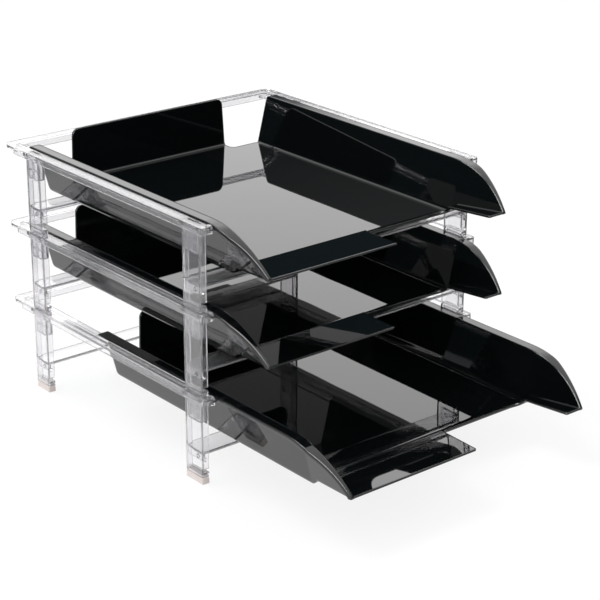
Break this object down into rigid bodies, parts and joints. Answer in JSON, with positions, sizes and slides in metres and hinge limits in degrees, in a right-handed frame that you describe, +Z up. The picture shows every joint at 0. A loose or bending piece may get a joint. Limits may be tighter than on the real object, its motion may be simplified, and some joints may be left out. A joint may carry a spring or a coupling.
{
  "type": "letter tray stack with drawers",
  "caption": "Clear stacking stand with pull-out black letter trays: open front with a finger cut-out, low lip, curved side walls and separate legs, crossbars and feet.",
  "frame": {"origin": "centre of the footprint at rest, with the bottom tray pulled out, on the surface that the feet stand on", "axes": "+X to the right seen from the front, +Y to the back, +Z up"},
  "size_m": [0.3092, 0.465, 0.236],
  "materials": {
    "clear_polystyrene": "clear moulded polystyrene, polished",
    "black_polystyrene": "black moulded polystyrene, high gloss",
    "foot_plastic": "soft moulded plastic, satin"
  },
  "bodies": {
    "stand": {"bottom_rail_frame": "clear_polystyrene", "middle_rail_frame": "clear_polystyrene", "top_rail_frame": "clear_polystyrene", "bottom_leg_front_left": "clear_polystyrene", "bottom_leg_front_right": "clear_polystyrene", "bottom_leg_rear_left": "clear_polystyrene", "bottom_leg_rear_right": "clear_polystyrene", "middle_leg_front_left": "clear_polystyrene", "middle_leg_front_right": "clear_polystyrene", "middle_leg_rear_left": "clear_polystyrene", "middle_leg_rear_right": "clear_polystyrene", "top_leg_front_left": "clear_polystyrene", "top_leg_front_right": "clear_polystyrene", "top_leg_rear_left": "clear_polystyrene", "top_leg_rear_right": "clear_polystyrene", "bottom_front_crossbar": "clear_polystyrene", "bottom_rear_crossbar": "clear_polystyrene", "middle_front_crossbar": "clear_polystyrene", "middle_rear_crossbar": "clear_polystyrene", "top_front_crossbar": "clear_polystyrene", "top_rear_crossbar": "clear_polystyrene", "foot_front_left": "foot_plastic", "foot_front_right": "foot_plastic", "foot_rear_left": "foot_plastic", "foot_rear_right": "foot_plastic"},
    "bottom_tray": {"bottom_tray": "black_polystyrene"},
    "middle_tray": {"middle_tray": "black_polystyrene"},
    "top_tray": {"top_tray": "black_polystyrene"}
  },
  "joints": [
    {"name": "bottom_tray_slide", "type": "slide", "parent": "stand", "child": "bottom_tray", "axis": [0, -1, 0], "range_m": [-0.1024, 0.0076]},
    {"name": "middle_tray_slide", "type": "slide", "parent": "stand", "child": "middle_tray", "axis": [0, -1, 0], "range_m": [0, 0.11]},
    {"name": "top_tray_slide", "type": "slide", "parent": "stand", "child": "top_tray", "axis": [0, -1, 0], "range_m": [0, 0.11]}
  ]
}
